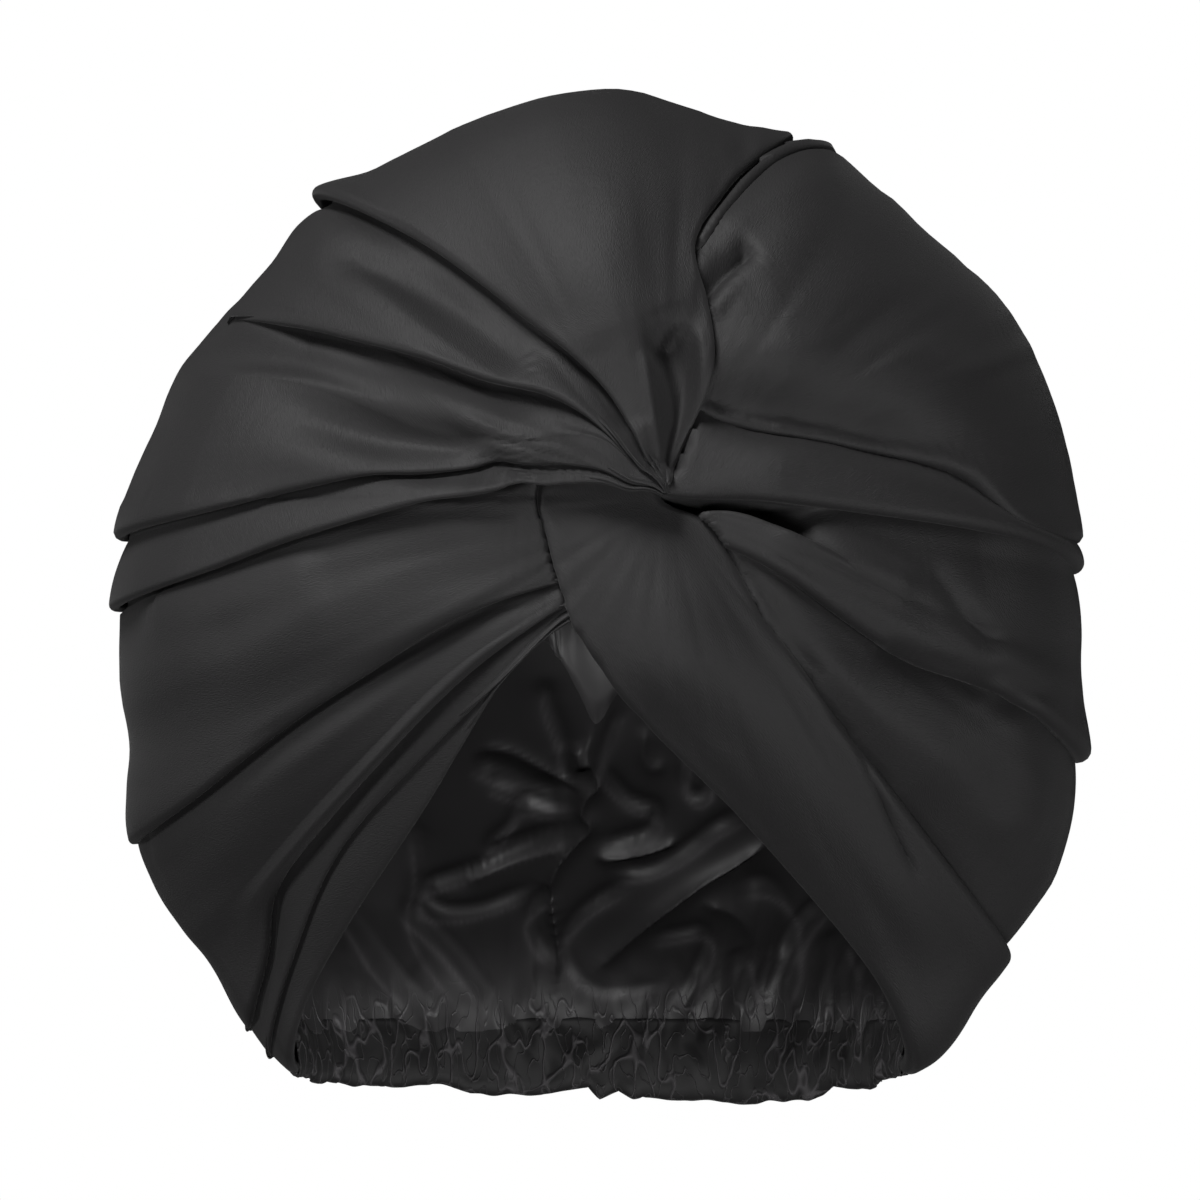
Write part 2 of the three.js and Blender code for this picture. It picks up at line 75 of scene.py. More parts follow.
# The hem: its way round from the middle of the back to each end, and the degrees that
# this way swings, a little past the widest place so that the ends turn in.
HEM_WAY = 106.0
HEM_SWING = 92.0
HEM_TOP = 15.0
HEM_HALF_WIDTH = 80.5
HEM_FLARE = 2.0
HEM_DEPTH = 51.0
HEM_PAD = 1.5
HEM_SLACK = 5.6
PANEL_BOTTOM = 7.0
LINING_BOTTOM = 10.5

# The plain surroundings and the camera, in metres but for the sensor's millimetres.
BACKDROP_RADIUS = 9.0
FLOOR_RADIUS = 3.0
FLOOR_DROP = 0.6
CAMERA_DISTANCE = 5.0
CAMERA_HEIGHT = 0.1268
VIEW_WIDTH = 0.3204
SENSOR = 36

# Cloth colours, with the lining lightened as painted fill light, and painted highlight tints on the crests
# of the lining and the hem.
OUTER_BLACK = "#1c1b1c"
# The lining's black, lightened as painted fill light for the shade deep inside the hollow.
LINING_BLACK_PAINTED_FILL = "#302f30"
# Painted highlight tints for the crests and pucker loops of the lining and the hem.
LINING_PAINTED_HIGHLIGHT = "#5a585a"
HEM_BLACK = "#131213"
HEM_PAINTED_HIGHLIGHT = "#403e40"

# Outline seen from the front: angle from +X towards +Z, and radius.
OUTLINE = [
    (-90, 146), (-58, 153.5), (-53, 153.2), (-48, 149.5), (-40, 146), (-30, 143), (-24, 140.6),
    (-19, 137.4), (-13, 131), (2, 128.4), (20, 129.3), (32, 130.8), (47, 128), (56, 130),
    (62, 133.4), (67, 132.4), (71, 130), (89, 132.6), (106, 128.8), (118, 127), (127, 131.6),
    (130, 130.4), (135, 126), (144, 123.6), (152, 126.2), (160, 126), (175, 130.6), (190, 131),
    (199, 132.6), (203, 137), (208, 142.8), (213, 144), (225, 145.6), (230, 150.4),
    (239, 153.4), (248, 148), (270, 146),
]

# Folds of each band from its first edge to its last: path of points (x, z) from the
# twist outwards, angle where it crosses the outline, drop behind the fold, bulge of
# the pleat after it, and share of the way where the drop ends if it does.
CROWN_FOLDS = [
    dict(name="right edge", path=[(17, 154), (24, 170), (30, 188), (28, 207), (25, 220), (33, 234)],
         rim=67, step=0, swell=5),
    dict(name="crown fold", path=[(17, 154), (3, 180), (-27, 207), (-53, 226)],
         rim=126, step=6, swell=-1),
    dict(name="upper roll", path=[(16.6, 154), (-11, 179), (-43, 189), (-80, 199)],
         rim=146, step=8, swell=-3, ends=0.45),
    dict(name="leaf floor", path=[(16.4, 154), (0, 168.5), (-40, 171), (-80, 184)],
         rim=156, step=0, swell=2),
    dict(name="side pleat", path=[(16.2, 154), (-11, 162.5), (-40, 162), (-80, 156), (-107, 149.5)],
         rim=174, step=4.5, swell=0),
    dict(name="lower edge", path=[(16, 153.6), (-11, 157), (-45, 152.7), (-80, 143), (-107, 133.5)],
         rim=182.5, step=0, swell=0),
]
LEFT_FOLDS = [
    dict(name="tucked top", path=[(0, 157), (-32, 161), (-53, 158), (-80, 151), (-107, 143)],
         rim=176, step=0, swell=1),
    dict(name="first pleat", path=[(-2, 133), (-10, 131.5), (-32, 123.6), (-80, 95), (-109, 73)],
         rim=208.5, step=5, swell=1),
    dict(name="soft valley", path=[(-1.5, 130), (-9, 128), (-37, 109.5), (-72, 76), (-96, 49.5)],
         rim=220, step=0, swell=2),
    dict(name="second pleat", path=[(-1, 127), (-8, 124.9), (-37, 103.3), (-69, 71), (-87, 46.7),
                                    (-90, 29)],
         rim=231.5, step=4.5, swell=0),
    dict(name="facing fold", path=[(0, 124), (-7, 122), (-32, 98.8), (-68, 61.4), (-82, 30.7)],
         rim=235, step=2, swell=0),
    dict(name="front edge", path=[(1, 121.5), (-6, 120.7), (-12, 117.4), (-27, 102.8), (-45, 73.4),
                                  (-67, 40), (-79, 18)],
         rim=238, step=0, swell=0),
]
RIGHT_FOLDS = [
    dict(name="tucked top", path=[(17, 214), (19, 228), (27, 241)], rim=72, step=0, swell=0),
    dict(name="valley", path=[(19, 211), (27.5, 222), (44, 242.5)], rim=62, step=2, swell=2),
    dict(name="soft ridge", path=[(22, 198.4), (53, 200), (80, 202)], rim=32.7, step=0, swell=0),
    dict(name="roll", path=[(22, 190), (43, 190.4), (80, 187)], rim=24, step=0, swell=0),
    dict(name="first pleat", path=[(18, 180), (43, 174.4), (69, 169.8), (96, 161.5), (112, 147)],
         rim=6, step=5, swell=1),
    dict(name="second pleat", path=[(13, 157), (43, 154.3), (69, 151), (107, 145)],
         rim=2.6, step=5, swell=0),
    dict(name="lip", path=[(19, 148.5), (36, 149), (59, 138.6), (80, 126.8)], rim=-7, step=0, swell=1),
    dict(name="third pleat", path=[(20, 147), (43, 137.5), (81, 112), (107, 103)],
         rim=-19, step=5.5, swell=1),
    dict(name="tucked lower edge", path=[(19, 145), (37, 116), (66, 74)], rim=-46, step=0, swell=0),
]
TWIST_FOLDS = [
    dict(name="right crease", path=[(14, 162), (16, 154), (29, 146.8), (53, 106.8), (83, 66.8)],
         rim=-42, step=0, swell=4),
    dict(name="front edge", path=[(-15, 163), (-15.6, 156), (-11.7, 137.5), (0, 110.3), (38.7, 68.6),
                                  (74.5, 26.2), (82.6, 8)],
         rim=-57.5, step=0, swell=0),
]

# Face opening as the front lining follows it, corner to corner over its pointed tip.
LINING_EDGE = [
    (-86, 3), (-75, 40), (-52, 78), (-30, 108), (-14, 113), (-6, 100), (-1, 91), (3, 97), (9, 103.5),
    (22, 94), (50, 65), (77, 34), (88, 3),
]

# Soft dents and bulges of the wraps as seen from the front: path of points (x, z),
# half width, height outwards.
CROWN_DENTS = [
    dict(path=[(17.6, 156), (20, 164), (21.4, 175), (20.6, 185), (18, 194), (14, 201)], width=6.4,
         height=-10),
    dict(path=[(17, 157), (16, 166.5), (13.6, 178), (12, 190), (11.6, 198)], width=1.6, height=1.6),
    dict(path=[(-100, 182), (-72, 174), (-46, 168.5), (-22, 165.5), (4, 159.5)], width=8, height=-11,
         taper=0.45),
    dict(path=[(-110, 200), (-80, 194), (-46, 186), (-14, 176)], width=4, height=1.5, taper=0.4),
    dict(path=[(18, 158), (22, 168), (25.5, 180), (26.4, 192), (25, 202)], width=2, height=1.6),
    dict(path=[(10, 170), (5, 184), (0, 196)], width=6, height=-1.5),
    dict(path=[(-78, 222), (-55, 216), (-32, 202), (-14, 186)], width=6, height=-4),
    dict(path=[(40, 246), (26, 236), (10, 226), (-4, 222)], width=12, height=1.6),
]
LEFT_DENTS = [
    dict(path=[(-128, 126), (-110, 127), (-90, 130), (-70, 133)], width=9, height=2.4),
    dict(path=[(-8, 128.5), (-32, 121), (-59, 109), (-80, 96), (-98, 84)], width=2.2, height=-1.2),
    dict(path=[(-30, 140), (-58, 136), (-85, 126), (-110, 112)], width=7, height=-1.4),
    dict(path=[(-20, 118), (-44, 97), (-66, 72), (-86, 47)], width=2, height=-1),
]
TWIST_DENTS = [
    dict(path=[(-4, 103), (16, 111), (40, 119)], width=13, height=3.5, taper=0.5),
    dict(path=[(56, 101), (66.8, 88), (77.4, 65.4), (84, 52)], width=1.3, height=-1.2),
    dict(path=[(24, 96), (44, 74), (62, 50), (76, 30)], width=5, height=0.9),
]
RIGHT_DENTS = [
    dict(path=[(24, 205), (29, 210.5), (34, 215), (42, 220)], width=3.2, height=-5),
    dict(path=[(28, 201), (34, 208.5), (39, 214), (44, 218.5)], width=1.6, height=1.4),
    dict(path=[(27, 224), (38, 228), (52, 236), (66, 242)], width=4, height=1.4),
    dict(path=[(20, 193), (43, 193), (66, 191), (112, 184)], width=6, height=2, taper=0.4),
    dict(path=[(8, 184), (43, 178), (66, 174), (108, 160)], width=7, height=-9, taper=0.4),
    dict(path=[(40, 200), (66, 206), (92, 206), (112, 196)], width=8, height=1.6),
    dict(path=[(44, 149), (56, 142), (72, 135), (84, 128)], width=5, height=2.6),
    dict(path=[(46, 151), (52, 147.5), (58, 146)], width=3.5, height=-2.2),
    dict(path=[(72, 116), (84, 110.5), (96, 107), (106, 101)], width=3.4, height=-3),
    dict(path=[(86, 136), (92, 129), (97, 122), (105, 112)], width=3.2, height=-2),
    dict(path=[(108, 100), (113, 90), (115, 78), (112, 62)], width=8, height=2.2),
    dict(path=[(34, 139), (42, 129), (51, 116), (60, 104)], width=3.4, height=-2.4),
]

# Satin folds of the back lining as seen from the front, round its puckered seam.
LINING_FOLDS = [
    dict(path=[(-0.8, 91), (-2.7, 86), (-3.2, 80), (0, 73.4), (-4, 69.4), (-5.3, 65.4), (-2.7, 61.4),
               (-6.7, 57), (-12.8, 49.4), (-13.9, 44), (-12, 28), (-13.4, 24), (-12.5, 14)],
         width=1.3, height=-3.2),
    dict(path=[(-36, 82), (-26.7, 81.4), (-18.7, 77.4), (-10.7, 73.4), (-4, 71.3)], width=1.3, height=-2),
    dict(path=[(-37, 80), (-26.7, 76), (-16, 71.3), (-5.3, 69.4)], width=3, height=2.8),
    dict(path=[(-32, 74.8), (-24, 72), (-10.7, 69)], width=1.2, height=1.2),
    dict(path=[(-4.8, 67.6), (-13.4, 66.8), (-21.4, 68), (-25.4, 61.4), (-30.7, 57), (-31, 55),
               (-21.4, 57.4), (-10.7, 60.6), (-4.5, 61.4)], width=1.3, height=2),
    dict(path=[(-5.9, 60), (-16, 57), (-26.7, 53.4), (-42.7, 48), (-48.6, 45.4), (-48, 41.4), (-44, 39.3),
               (-34.7, 40), (-24, 43.5), (-14.7, 47.3)], width=1.4, height=2.2),
    dict(path=[(-8, 56.5), (-24, 51.5), (-40, 46)], width=1.2, height=-1.4),
    dict(path=[(-14.7, 47.3), (-13.6, 45), (-17.4, 42), (-19.8, 38.2), (-18.7, 33.4), (-14.7, 28),
               (-13.9, 26)], width=1.4, height=2),
    dict(path=[(-16, 103), (-14.7, 95), (-12, 88), (-10.7, 83), (-10, 76), (-5.3, 73)], width=2.4,
         height=2.4),
    dict(path=[(-8, 84), (-6.5, 80), (-5, 76)], width=2.4, height=-3.4),
    dict(path=[(9, 101), (4, 89.4), (1.3, 82.8), (0.5, 77.4), (4, 73.4), (8, 69.4), (16, 66), (14.7, 61.4),
               (8, 58.7), (0, 57.4), (-4, 57)], width=1.5, height=2.4),
    dict(path=[(-2.7, 53), (5.3, 53), (13.4, 54.7), (24, 58.2)], width=1.2, height=-2.4),
    dict(path=[(2, 50), (14, 51), (25.4, 57), (32, 61.9), (41, 66.5)], width=1.5, height=2.4),
    dict(path=[(-4, 22), (10.7, 34), (26.7, 46), (38.7, 52.6), (51, 60)], width=1.9, height=-4),
    dict(path=[(11, 48.6), (1.3, 43.5), (-6.7, 37.4), (-9.9, 32), (-9, 26.7), (-4.8, 22), (0, 20),
               (13.4, 20.6), (24, 23)], width=1.6, height=2.4),
    dict(path=[(12.8, 32), (21.4, 34), (28.8, 34.7), (31, 31), (28.3, 24), (24.6, 15)], width=1.3,
         height=2),
    dict(path=[(37, 46), (47, 46), (53, 39), (54, 24)], width=3.4, height=3),
    dict(path=[(26.7, 42), (37.4, 38.7), (45.4, 30.7), (48, 19)], width=2.6, height=-2.4),
    dict(path=[(63, 43), (56.6, 34.7), (54.7, 29.4), (54.2, 24), (50.7, 15)], width=1.2, height=2),
    dict(path=[(22, 87), (24, 79.3), (23.5, 74), (26.7, 70.2), (29.9, 71.8), (30.2, 79)], width=1.2,
         height=1.8),
    dict(path=[(13.4, 89), (12, 81.4), (14.7, 77.4), (20, 79)], width=1.5, height=-1.4),
    dict(path=[(-74, 44), (-68, 36), (-61.4, 25.4), (-50, 14)], width=1.6, height=1.8),
    dict(path=[(-56, 42), (-42.7, 30), (-31, 15)], width=2.2, height=1.8),
    dict(path=[(-52, 66), (-50, 50), (-52, 38), (-46, 26), (-37, 15)], width=3, height=1.6),
    dict(path=[(40, 30), (42, 22), (44, 14)], width=1.6, height=2),
    dict(path=[(66, 34), (70, 24), (68, 14)], width=1.6, height=1.8),
]

# Lower edge of the hem as seen from the front: x, and height.
HEM_EDGE = [
    (-84, 2), (-80, 0), (-76, -2), (-62, -3.5), (-53, -3.4), (-45, -2.6), (-35, -6), (-16, -6.2),
    (-3, -4.3), (0, -7.2), (5, -4.8), (9, -7.2), (27, -7.8), (37, -8.3), (57, -7.2), (63, -3),
    (72, -4), (76, -1.3), (84, 1),
]


def ease(value):
    t = np.clip(value, 0.0, 1.0)
    return t * t * (3 - 2 * t)


def mix(a, b, t):
    return a + (b - a) * t


def noise(u, v, seed):
    """Smooth noise from -1 to 1 with cells of one unit."""
    lattice = np.random.default_rng(seed).uniform(-1, 1, (64, 64))
    u, v = np.broadcast_arrays(np.asarray(u, float), np.asarray(v, float))
    iu, iv = np.floor(u).astype(int), np.floor(v).astype(int)
    fu, fv = ease(u - iu), ease(v - iv)
    low = mix(lattice[iu % 64, iv % 64], lattice[(iu + 1) % 64, iv % 64], fu)
    high = mix(lattice[iu % 64, (iv + 1) % 64], lattice[(iu + 1) % 64, (iv + 1) % 64], fu)
    return mix(low, high, fv)


def creases(u, v, seed, width=0.16):
    """Thin meandering crests, as satin makes where it is gathered."""
    return np.exp(-np.abs(noise(u, v, seed)) / width)


# The puffed form
def outline_radius(degrees):
    """Radius of the outline at angles in degrees, smooth through the table."""
    table = np.array(OUTLINE, float)
    angles, radii = table[:, 0], table[:, 1]
    slopes = np.gradient(radii, angles)
    angle = (np.asarray(degrees, float) + 90) % 360 - 90
    row = np.clip(np.searchsorted(angles, angle, side="right") - 1, 0, len(angles) - 2)
    span = angles[row + 1] - angles[row]
    t = (angle - angles[row]) / span
    return ((2 * t**3 - 3 * t**2 + 1) * radii[row] + (t**3 - 2 * t**2 + t) * slopes[row] * span
            + (3 * t**2 - 2 * t**3) * radii[row + 1] + (t**3 - t**2) * slopes[row + 1] * span)


def form(u, v):
    """Points of the puffed form at places of its map."""
    turn = np.hypot(u, v)
    angle = np.arctan2(v, u)
    radius = outline_radius(np.degrees(angle))
    reach = np.sin(turn * math.pi / 2)
    depth = np.abs(np.cos(turn * math.pi / 2)) ** FRONT_ROUNDNESS
    rise = radius * np.sin(angle)
    front = RIM_Y - (FRONT_DEPTH - CHIN_SET_BACK * ease(-v / 0.6)) * depth
    back = RIM_Y + mix(BACK_DEPTH, NAPE_DEPTH, ease(-rise / CENTRE_HEIGHT)) * depth
    level = np.where((turn <= 1) | (rise > 0), reach, 1.0)
    return np.stack([reach * radius * np.cos(angle), np.where(turn <= 1, front, back),
                     CENTRE_HEIGHT + level * rise], axis=-1)


def form_normal(u, v):
    d = 0.004
    across = form(u + d, v) - form(u - d, v)
    up = form(u, v + d) - form(u, v - d)
    normal = np.cross(across, up)
    return normal / np.linalg.norm(normal, axis=-1, keepdims=True)


def lifted(u, v, height):
    return form(u, v) + form_normal(u, v) * np.asarray(height)[..., None]


def map_point(x, z):
    rise = z - CENTRE_HEIGHT
    angle = math.atan2(rise, x)
    radius = float(outline_radius(math.degrees(angle)))
    turn = math.asin(min(1.0, math.hypot(x, rise) / radius)) * 2 / math.pi
    return (turn * math.cos(angle), turn * math.sin(angle))


def rim_point(degrees, turn):
    angle = np.radians(degrees)
    return np.stack([turn * np.cos(angle), turn * np.sin(angle)], axis=-1)


def seam_turn(degrees):
    """Where the wraps are sewn to the back, as a turn on the map."""
    return mix(SEAM_TURN, SEAM_TURN_LOW, ease((-np.sin(np.radians(degrees)) - 0.1) / 0.7))


def smooth_curve(points, samples):
    """Points of a centripetal Catmull-Rom curve, and their share of its length."""
    p = np.array(points, float)
    p = np.vstack([2 * p[0] - p[1], p, 2 * p[-1] - p[-2]])
    knots = np.concatenate([[0], np.cumsum(np.linalg.norm(np.diff(p, axis=0), axis=1) ** 0.5)])
    t = np.linspace(knots[1], knots[-2], samples)
    row = np.clip(np.searchsorted(knots, t, side="right") - 1, 1, len(p) - 3)
    t = t[:, None]
    k = [knots[row + n][:, None] for n in (-1, 0, 1, 2)]
    q = [p[row + n] for n in (-1, 0, 1, 2)]
    a = [((k[n + 1] - t) * q[n] + (t - k[n]) * q[n + 1]) / (k[n + 1] - k[n]) for n in range(3)]
    b = [((k[n + 2] - t) * a[n] + (t - k[n]) * a[n + 1]) / (k[n + 2] - k[n]) for n in range(2)]
    curve = ((k[2] - t) * b[0] + (t - k[1]) * b[1]) / (k[2] - k[1])
    way = np.concatenate([[0], np.cumsum(np.linalg.norm(np.diff(curve, axis=0), axis=1))])
    return curve, way / way[-1]


def fold_line(fold, s):
    """Places of a fold on the map at shares s of its length."""
    points = [map_point(x, z) for x, z in fold["path"]]
    points += [tuple(rim_point(fold["rim"], 1.0)), tuple(rim_point(fold["rim"], seam_turn(fold["rim"])))]
    curve, way = smooth_curve(points, 1200)
    return np.stack([np.interp(s, way, curve[:, 0]), np.interp(s, way, curve[:, 1])], axis=-1)


def between(a, b, across, s):
    """Places between two folds: straight near the twist, round the form farther out."""
    straight = mix(a, b, across)
    start = np.arctan2(a[..., 1], a[..., 0])
    swing = np.arctan2(a[..., 0] * b[..., 1] - a[..., 1] * b[..., 0], np.sum(a * b, axis=-1))
    angle = start + swing * across[..., 0]
    turn = mix(np.linalg.norm(a, axis=-1), np.linalg.norm(b, axis=-1), across[..., 0])
    ring = np.stack([turn * np.cos(angle), turn * np.sin(angle)], axis=-1)
    return mix(straight, ring, ease((s - 0.25) / 0.4))


def stroke_relief(x, z, strokes, crest=0.0):
    """Height of strokes at places in the front view; with a crest they are sharper."""
    height = np.zeros(np.shape(x))
    for stroke in strokes:
        curve, way = smooth_curve(stroke["path"], 48)
        distance = np.hypot(x[..., None] - curve[:, 0], z[..., None] - curve[:, 1])
        nearest = np.argmin(distance, axis=-1)
        near = np.take_along_axis(distance, nearest[..., None], axis=-1)[..., 0]
        share = way[nearest]
        part = stroke.get("taper", 0.18)
        taper = ease(share / part) * ease((1 - share) / part)
        if crest:
            shape = np.exp(-(np.hypot(near, crest) - crest) / stroke["width"])
        else:
            shape = np.exp(-((near / stroke["width"]) ** 2))
        height += stroke["height"] * taper * shape
    return height


# Pleated bands
def pleat_profile(width, drop, next_drop, swell, cells, first, last):
    """One pleat's cross section: way across in mm and height, one entry a column.

    It comes out from under the pleat before it, swells, rolls over at its far edge and
    turns back under itself as deep as the next pleat lies. A free edge is folded under.
    """
    roll = np.minimum(EDGE_ROLL, width * 0.2) if last else np.minimum(ROLL, next_drop * 0.42)
    start = np.minimum(EDGE_ROLL, width * 0.2) if first else 0 * width
    profile = []
    if first:
        profile.append((start * 2.6, -start * 2.1))
        profile.append((start * 1.8, -start * 2.0))
        for bend in (90, 60, 30):
            turned = math.radians(bend)
            profile.append((start - start * math.cos(turned), -start - start * math.sin(turned)))
    for spot in (1 - np.cos(np.linspace(0, math.pi, cells))) / 2:
        x = spot * width
        rise = -drop * (1 - spot) ** 1.5 + swell * math.sin(math.pi * spot) ** 2
        near = np.clip((start - x) / np.maximum(start, 1e-6), 0, 1)
        far = np.clip((x - (width - roll)) / np.maximum(roll, 1e-6), 0, 1)
        rounding = start * (1 - np.sqrt(1 - near**2)) + roll * (1 - np.sqrt(1 - far**2))
        profile.append((x, rise - rounding))
    for bend in (30, 60, 90):
        turned = math.radians(bend)
        profile.append((width - roll + roll * math.cos(turned), -roll - roll * math.sin(turned)))
    if last:
        profile.append((width - roll * 1.8, -2.0 * roll))
        profile.append((width - roll * 2.6, -2.1 * roll))
    else:
        back = np.minimum(roll * 1.6, width * 0.3)
        profile.append((width - roll - back * 0.6, -2 * roll))
        profile.append((width - roll - back, -mix(2 * roll, next_drop, 0.5)))
        profile.append((width - roll - back * 0.5, -next_drop))
    return profile


def band(folds, steps, cells, settle, dents, free_start, free_end, seed):
    """Grid of places and heights of a pleated band."""
    s = np.linspace(0, 1, steps + 1) ** 1.2
    lines = [fold_line(fold, s) for fold in folds]
    places = [form(line[:, 0], line[:, 1]) for line in lines]
    far = mix(1, 0.15, ease((s - 0.78) / 0.15))
    fade, sharp = ease(s / 0.3) * far, ease(s / 0.12) * far
    steps_of = [fold["step"] * sharp * (1 - ease((s - fold.get("ends", 9)) / 0.2)) for fold in folds]
    columns, heights = [], []
    for k, fold in enumerate(folds[:-1]):
        width = np.maximum(np.linalg.norm(places[k] - places[k + 1], axis=-1), 0.05)
        before = np.linalg.norm(places[k] - places[k - 1], axis=-1) if k else width
        drop = np.minimum(steps_of[k], 0.45 * np.minimum(width, before)) if k else 0 * s
        last = k == len(folds) - 2
        following = width if last else np.linalg.norm(places[k + 1] - places[k + 2], axis=-1)
        step = 0 if last else folds[k + 1]["step"]
        next_drop = 0 * s if last else np.minimum(steps_of[k + 1], 0.45 * np.minimum(width, following))
        bulge = fold["swell"] * fade * mix(1, 0.1, ease((s - 0.52) / 0.2))
        swell = np.clip(bulge, -0.3 * width, 0.3 * width)
        profile = pleat_profile(width, drop, next_drop, swell, cells[k],
                                k == 0 and free_start, last and free_end)
        if step == 0 and not (last and free_end):
            profile = profile[:-6]
        if k and fold["step"] == 0:
            profile = profile[1:]
        for x, h in profile:
            part = x / width
            spot = between(lines[k], lines[k + 1], part[:, None], s[:, None])
            columns.append(spot)
            heights.append(h + settle(s, k + part, len(folds) - 1 - k - part))
    grid = np.stack(columns, axis=1)
    u, v, height = grid[..., 0], grid[..., 1], np.stack(heights, axis=1)
    seen = form(u, v)
    x, z = seen[..., 0], seen[..., 2]
    front = 1 - ease((np.hypot(u, v) - 0.9) / 0.15)
    away = np.hypot(x - TWIST_X, z - TWIST_Z)
    swing = np.arctan2(z - TWIST_Z, x - TWIST_X)
    ripple = 0.9 * noise(swing * 9, away / 60, seed) + 0.4 * noise(swing * 23, away / 34, seed + 1)
    height = height + front * (stroke_relief(x, z, dents) + ripple * ease(away / 70))
    return u, v, height


def crown_settle(s, from_top, from_low):
    return 0.4 + 1.5 * (1 - ease(s / 0.4)) - 0.6 * ease((s - 0.8) / 0.2) + 0 * from_top


def left_settle(s, from_top, from_low):
    top = np.maximum(0, 1 - from_top / 0.55) * mix(1, 0.5, ease((s - 0.6) / 0.3))
    root = 1 - ease((s - 0.04) / 0.3)
    return -6 * top - 7 * root * (1 - top) - 1.2 * ease((s - 0.8) / 0.2)


def right_settle(s, from_top, from_low):
    top = (1 - ease((from_top - 0.3) / 0.9)) * mix(1, 0.5, ease((s - 0.75) / 0.2))
    low = np.maximum(0, 1 - from_low / 0.5)
    root = 1 - ease(s / 0.14)
    across = np.clip(2 * np.abs(from_top - 5.5), 0, 1)
    hollow = (1 - across**6) * np.exp(-((s / 0.15) ** 4))
    return -4.6 * np.maximum(np.maximum(top, low), root) - 24 * hollow - 1.2 * ease((s - 0.8) / 0.2)


def twist_settle(s, from_top, from_low):
    return -8 * (1 - ease(s / 0.3)) - 1.2 * ease((s - 0.8) / 0.2) + 0 * from_top


# Meshes
def cloth_object(name, points, thickness, material, crests=None):
    """A sheet from a grid of points in mm, its weave map in metres, given thickness.

    Crests, from 0 to 1 for each point, are painted highlights that lighten the colour where a fold's edge
    would shine.
    """
    rows, columns = points.shape[:2]
    mesh = bpy.data.meshes.new(name)
    build = bmesh.new()
    bmesh.ops.create_grid(build, x_segments=rows - 1, y_segments=columns - 1, size=1)
    along = np.cumsum(np.pad(np.linalg.norm(np.diff(points, axis=0), axis=-1), ((1, 0), (0, 0))), axis=0)
    across = np.cumsum(np.pad(np.linalg.norm(np.diff(points, axis=1), axis=-1), ((0, 0), (1, 0))), axis=1)
    # A layer for the painted highlights on the crests, kept as the attribute crest.
    shine = build.verts.layers.float.new("crest")
    spots = {}
    for vertex in build.verts:
        i = round((vertex.co.x + 1) / 2 * (rows - 1))
        j = round((vertex.co.y + 1) / 2 * (columns - 1))
        spots[vertex] = (i, j)
    for vertex, (i, j) in spots.items():
        vertex.co = Vector(points[i, j] * MM)
    weave = build.loops.layers.uv.new("weave")
    for face in build.faces:
        face.smooth = True
        for loop in face.loops:
            i, j = spots[loop.vert]
            loop[weave].uv = (across[i, j] * MM, along[i, j] * MM)
    for vertex, (i, j) in spots.items():
        vertex[shine] = 0 if crests is None else crests[i, j]
    build.to_mesh(mesh)
    build.free()
    thing = bpy.data.objects.new(name, mesh)
    bpy.context.collection.objects.link(thing)
    mesh.materials.append(material)
    shell = thing.modifiers.new("cloth thickness", "SOLIDIFY")
    shell.thickness = thickness * MM
    shell.offset = -1
    return thing


def tree_of(points):
    """A search tree over a grid of points in mm."""
    rows, columns = points.shape[:2]
    flat = points.reshape(-1, 3)
    faces = [(i * columns + j, i * columns + j + 1, (i + 1) * columns + j + 1, (i + 1) * columns + j)
             for i in range(rows - 1) for j in range(columns - 1)]
    return BVHTree.FromPolygons([tuple(p) for p in flat], faces)


def room_under(covers, u, v, height):
    """Heights lowered where they must be to lie under the covering sheets.

    Rays go outwards from deep under the form, at each place and just beside it.
    """
    deep = 30.0
    reach = 45
    room = np.array(height, float)
    for du, dv in ((0, 0), (0.008, 0), (-0.008, 0), (0, 0.008), (0, -0.008)):
        base = lifted(u + du, v + dv, np.full(u.shape, -deep))
        normal = form_normal(u + du, v + dv)
        for index in np.ndindex(u.shape):
            origin, way = Vector(base[index]), Vector(normal[index])
            for tree, thick in covers:
                hit = tree.ray_cast(origin, way, reach)
                if hit[0] is not None:
                    room[index] = min(room[index], hit[3] - deep - thick - CLEARANCE)
    return room


# The back, the linings and the hem
def level_angle(rise, side):
    """Angle where the outline passes a level on one side, below the middle."""
    rise, side = np.broadcast_arrays(np.asarray(rise, float), side)
    low, high = np.full(rise.shape, 0.5), np.full(rise.shape, 89.5)
    for _ in range(26):
        middle = (low + high) / 2
        radius = outline_radius(np.where(side > 0, -middle, 180 + middle))
        under = radius * np.sin(np.radians(middle)) < -rise
        low, high = np.where(under, middle, low), np.where(under, high, middle)
    return np.where(side > 0, -low, 180 + low)


def back_map(x, z):
    """Places on the map of points of the back, given as seen in the front view."""
    rise = z - CENTRE_HEIGHT
    upper = np.degrees(np.arctan2(rise, x))
    lower = level_angle(np.minimum(rise, -1e-3), np.where(x < 0, -1, 1))
    degrees = np.where(rise >= 0, upper, lower)
    radius = outline_radius(degrees)
    half = np.abs(radius * np.cos(np.radians(degrees)))
    share = np.where(rise >= 0, np.hypot(x, rise) / radius, np.abs(x) / half)
    return rim_point(degrees, 2 - np.arcsin(np.clip(share, 0, 0.9999)) * 2 / math.pi)


def back_edge(degrees, turn):
    """Front-view places on the form at angles and turns of its map."""
    spot = rim_point(degrees, turn)
    return form(spot[..., 0], spot[..., 1])[..., [0, 2]]


